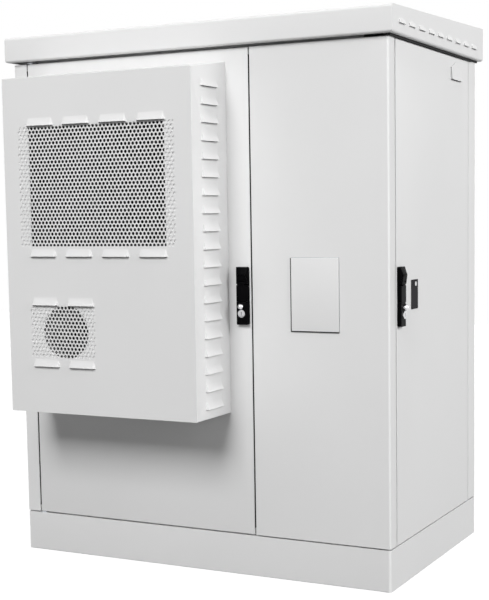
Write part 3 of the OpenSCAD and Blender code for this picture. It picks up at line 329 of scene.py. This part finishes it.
def perforated(name, node, cols, rows):
    """A punched plate in a node's place: round holes at 60 degrees, 9.6 mm on a 12.7 mm pitch."""
    pitch, hole_r, sides = 0.0127, 0.0048, 12
    row_h = pitch * sqrt(3) / 2
    low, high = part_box(node)
    sheet = high.y - low.y
    middle = (low + high) / 2
    field_w, field_h = (cols + 0.5) * pitch, rows * row_h
    # One cell: a rectangle of one pitch with a round hole
    bm = bmesh.new()
    hole = bmesh.ops.create_circle(bm, segments=sides, radius=hole_r)["verts"]
    hole_edges = list({e for v in hole for e in v.link_edges})
    cell = bmesh.ops.create_grid(bm, x_segments=2, y_segments=1, size=0.5)["verts"]
    bmesh.ops.scale(bm, verts=cell, vec=(pitch, row_h, 1))
    divider = {e for v in cell for e in v.link_edges if len(e.link_faces) == 2}
    bmesh.ops.delete(bm, geom=list(divider), context="EDGES_FACES")
    rim_edges = list({e for v in cell for e in v.link_edges})
    bmesh.ops.triangle_fill(bm, edges=hole_edges + rim_edges, use_beauty=True)
    bmesh.ops.translate(bm, verts=bm.verts, vec=(pitch / 2 - field_w / 2, row_h / 2 - field_h / 2, 0))
    # A row of cells, with half a blank cell at its end
    one = bm.verts[:] + bm.edges[:] + bm.faces[:]
    for i in range(1, cols):
        copy = bmesh.ops.duplicate(bm, geom=one)["geom"]
        verts = [g for g in copy if isinstance(g, bmesh.types.BMVert)]
        bmesh.ops.translate(bm, verts=verts, vec=(i * pitch, 0, 0))
    end = bmesh.ops.create_grid(bm, x_segments=1, y_segments=1, size=0.5)["verts"]
    bmesh.ops.scale(bm, verts=end, vec=(pitch / 2, row_h, 1))
    bmesh.ops.translate(bm, verts=end, vec=(field_w / 2 - pitch / 4, row_h / 2 - field_h / 2, 0))
    # The field: every second row is mirrored, which staggers the holes
    row = bm.verts[:] + bm.edges[:] + bm.faces[:]
    for j in range(1, rows):
        copy = bmesh.ops.duplicate(bm, geom=row)["geom"]
        verts = [g for g in copy if isinstance(g, bmesh.types.BMVert)]
        bmesh.ops.translate(bm, verts=verts, vec=(0, j * row_h, 0))
        if j % 2:
            bmesh.ops.scale(bm, verts=verts, vec=(-1, 1, 1))
    bmesh.ops.remove_doubles(bm, verts=bm.verts, dist=1e-5)
    # The blank margin, out to the plate's edge
    half = Vector((field_w / 2, field_h / 2))
    near = 1e-4
    border = [e for e in bm.edges if e.is_boundary and all(
        abs(abs(v.co.x) - half.x) < near or abs(abs(v.co.y) - half.y) < near for v in e.verts)]
    rim = bmesh.ops.extrude_edge_only(bm, edges=border)["geom"]
    out = Vector(((high.x - low.x) / 2, (high.z - low.z) / 2))
    for v in (g for g in rim if isinstance(g, bmesh.types.BMVert)):
        if abs(abs(v.co.x) - half.x) < near:
            v.co.x *= out.x / half.x
        if abs(abs(v.co.y) - half.y) < near:
            v.co.y *= out.y / half.y
    # The thickness of the sheet, and its place upright in the cooler's front
    rear = bmesh.ops.extrude_face_region(bm, geom=bm.faces[:], use_keep_orig=True)["geom"]
    rear_verts = [g for g in rear if isinstance(g, bmesh.types.BMVert)]
    bmesh.ops.translate(bm, verts=rear_verts, vec=(0, 0, -sheet))
    bmesh.ops.rotate(bm, verts=bm.verts, matrix=Matrix.Rotation(pi / 2, 3, "X"))
    bmesh.ops.translate(bm, verts=bm.verts, vec=(middle.x, low.y, middle.z))
    bmesh.ops.recalc_face_normals(bm, faces=bm.faces)
    return finish_piece(name, bm, [paint], "front_door", [node])


perforated("coil_grille", "grille_upper", cols=42, rows=32)
perforated("fan_grille", "grille_lower", cols=18, rows=14)


def fine_grained(name, colour, roughness, metallic, grain_mm, **settings):
    """A surface whose gloss varies a little across a fine grain; settings go to the shader.

    Real grain is finer; it is drawn at 1 to 8 mm so that it shows at all in the render.
    """
    material = new_material(name)
    place = add(material, "ShaderNodeTexCoord").outputs["Object"]
    grain = add(material, "ShaderNodeTexNoise", {"Vector": place}, Scale=1000 / grain_mm, Detail=3.0)
    gloss = add(material, "ShaderNodeMapRange", {"Value": grain.outputs["Fac"]})
    gloss.inputs["To Min"].default_value = roughness * 0.8
    gloss.inputs["To Max"].default_value = roughness * 1.2
    bump = add(material, "ShaderNodeBump", {"Height": grain.outputs["Fac"]},
               Strength=0.08, Distance=0.0003)
    shader = add(material, "ShaderNodeBsdfPrincipled", {
        "Roughness": gloss.outputs["Result"], "Normal": bump.outputs["Normal"]},
        Base_Color=linear(colour), Metallic=metallic, **settings)
    return show(material, shader)


# Aluminium fins, coloured nearly black as painted shade: edge on they read as a nearly black field.
dress(fine_grained("aluminium_fins_painted_shade", "#202122", 0.5, 0.0, 6.0), "cooler_coil")
# Moulded black plastic: dark grey with a soft, dull sheen.
dress(fine_grained("moulded_fan_plastic", "#1D1D1F", 0.5, 0.0, 2.0), "fan")
# Stoved black enamel: dark, with a clearer sheen than the plastic.
dress(fine_grained("black_motor_enamel", "#1A1A1B", 0.35, 0.0, 3.0), "fan_motor")

# Handles: black-coated zinc castings, screwed to the doors. The head turns on a spindle, the lever
# lifts out of the base, and a chromed button and a chromed lock plug sit in the lock block below.
# A satin black coat: nearly black all over, with only a trace of gloss along the edges.
black_coat = fine_grained("black_coated_casting", "#050506", 0.35, 0.0, 1.2, Specular_IOR_Level=0.03)
# Polished chrome: a clear mirror, bright where it faces the room.
chrome = fine_grained("polished_chrome", "#D9D9DB", 0.08, 1.0, 4.0)
edge_round, edge_width, edge_length = 0.0012, 0.003, 0.006
for door in ("front", "side"):
    for part, body in (("base", "door"), ("head", "head"), ("lever", "lever")):
        node = f"{door}_grip_{part}"
        casting = bent(node, edge_round, broad=edge_width, shortest=edge_length)
        finish_piece(f"{door}_handle_{part}", casting, [black_coat], f"{door}_{body}", [node])
    dress(chrome, f"{door}_button", f"{door}_plug")

# Lock cover: a plate of polished steel with a hole near its upper end, which hangs loose on a
# headed stud on the side door. The stud is turned and chromed.
dress(chrome, "cover_stud")
# Polished steel, coloured dark grey as a painted reflection of a dark surround, so it stays dark against
# the pale door.
dark_reflection_steel = fine_grained("polished_steel_painted_reflection", "#3A3A3C", 0.18, 1.0, 8.0,
                          Specular_Tint=(0.5, 0.5, 0.5, 1))
dress(dark_reflection_steel, "lock_cover")

# Inside fittings: rack rails, a mounting plate and terminal rails, all folded from zinc-coated sheet and
# screwed to the frame. The earth bar is drawn brass, left bare, on two moulded insulating posts.
dress(zinc, "rail_front_left", "rail_front_right", "rail_rear_left", "rail_rear_right", "mounting_plate",
      "din_rail_low", "din_rail_high")
# Moulded resin: brick red with a soft sheen.
dress(fine_grained("moulded_insulator", "#7A2A22", 0.45, 0.0, 2.0), "earth_posts")
# Bare brass: warm yellow metal, a little dulled.
dress(fine_grained("bare_brass", "#C9A55E", 0.3, 1.0, 5.0), "earth_bar")

# Stage: a floor and a room that look white, five large soft lamps, and a camera at the photograph's
# viewpoint. The floor and the room are grey and dim to the light itself, so the cabinet keeps its
# shading and its shadow.
floor_half, floor_white = 8.0, 0.92
floor_bm = bmesh.new()
bmesh.ops.create_grid(floor_bm, x_segments=1, y_segments=1, size=floor_half)
floor_mesh = bpy.data.meshes.new("floor")
floor_bm.to_mesh(floor_mesh)
floor_bm.free()


def seen(stage):
    """1 for a ray that the viewer follows, straight, mirrored or through glass, and 0 for one of light."""
    ray = add(stage, "ShaderNodeLightPath")
    mirrored = add(stage, "ShaderNodeMath", {
        0: ray.outputs["Is Camera Ray"], 1: ray.outputs["Is Glossy Ray"]}, operation="MAXIMUM")
    through = add(stage, "ShaderNodeMath", {
        0: mirrored.outputs[0], 1: ray.outputs["Is Transmission Ray"]}, operation="MAXIMUM")
    return through.outputs[0]


# A matt painted floor that looks white to the viewer and grey to the lamps.
floor_coat = new_material("matt_floor_paint")
lift = add(floor_coat, "ShaderNodeMath", {0: seen(floor_coat)}, operation="MULTIPLY")
lift.inputs[1].default_value = floor_white
floor_mesh.materials.append(show(floor_coat, add(
    floor_coat, "ShaderNodeBsdfPrincipled", {"Emission Strength": lift.outputs[0]},
    Base_Color=linear("#585858"), Roughness=0.9, Emission_Color=(1, 1, 1, 1))))
floor = bpy.data.objects.new("floor", floor_mesh)
bpy.context.scene.collection.objects.link(floor)

world = bpy.data.worlds.new("studio")
world.use_nodes = True
world.node_tree.nodes.clear()
ambient = add(world, "ShaderNodeBackground", Color=(1, 1, 1, 1), Strength=0.05)
backdrop = add(world, "ShaderNodeBackground", Color=(1, 1, 1, 1), Strength=1.0)
both = add(world, "ShaderNodeMixShader", {
    0: seen(world), 1: ambient.outputs[0], 2: backdrop.outputs[0]})
add(world, "ShaderNodeOutputWorld", {"Surface": both.outputs[0]})
bpy.context.scene.world = world


def lamp(name, place, target, size, power, glare=True):
    """A large soft lamp that faces a point; one without glare adds no gloss of its own."""
    light = bpy.data.lights.new(name, "AREA")
    light.size = size
    light.energy = power
    thing = bpy.data.objects.new(name, light)
    thing.location = place
    thing.visible_glossy = glare
    thing.rotation_euler = (Vector(target) - Vector(place)).to_track_quat("-Z", "Y").to_euler()
    bpy.context.scene.collection.objects.link(thing)


middle = (0, 0, 0.9)
lamp("key_above", (0.2, -9.5, 8.2), middle, 5.0, 1280)
lamp("right_fill", (8.5, -0.3, 4.6), (0.3, 0, 0.9), 5.0, 735)
lamp("front_low", (-1.6, -5.0, 0.9), middle, 2.5, 14)
lamp("back_fill", (-1.5, 9.5, 2.6), middle, 4.0, 520, glare=False)
lamp("left_fill", (-8.5, 0.8, 2.6), middle, 4.0, 380, glare=False)

camera_data = bpy.data.cameras.new("camera")
camera_data.lens = 76.5
camera_data.shift_x = -0.0533
camera_data.shift_y = 0.0652
camera = bpy.data.objects.new("camera", camera_data)
viewpoint = (1.905, -3.6335, 1.0576)
yaw, pitch_down, roll = radians(26.576), radians(5.551), radians(-0.788)
camera.matrix_world = (Matrix.Translation(viewpoint) @ Matrix.Rotation(yaw, 4, "Z")
                       @ Matrix.Rotation(pi / 2 - pitch_down, 4, "X") @ Matrix.Rotation(roll, 4, "Z"))
bpy.context.scene.collection.objects.link(camera)
bpy.context.scene.camera = camera
bpy.context.scene.view_settings.view_transform = "Standard"
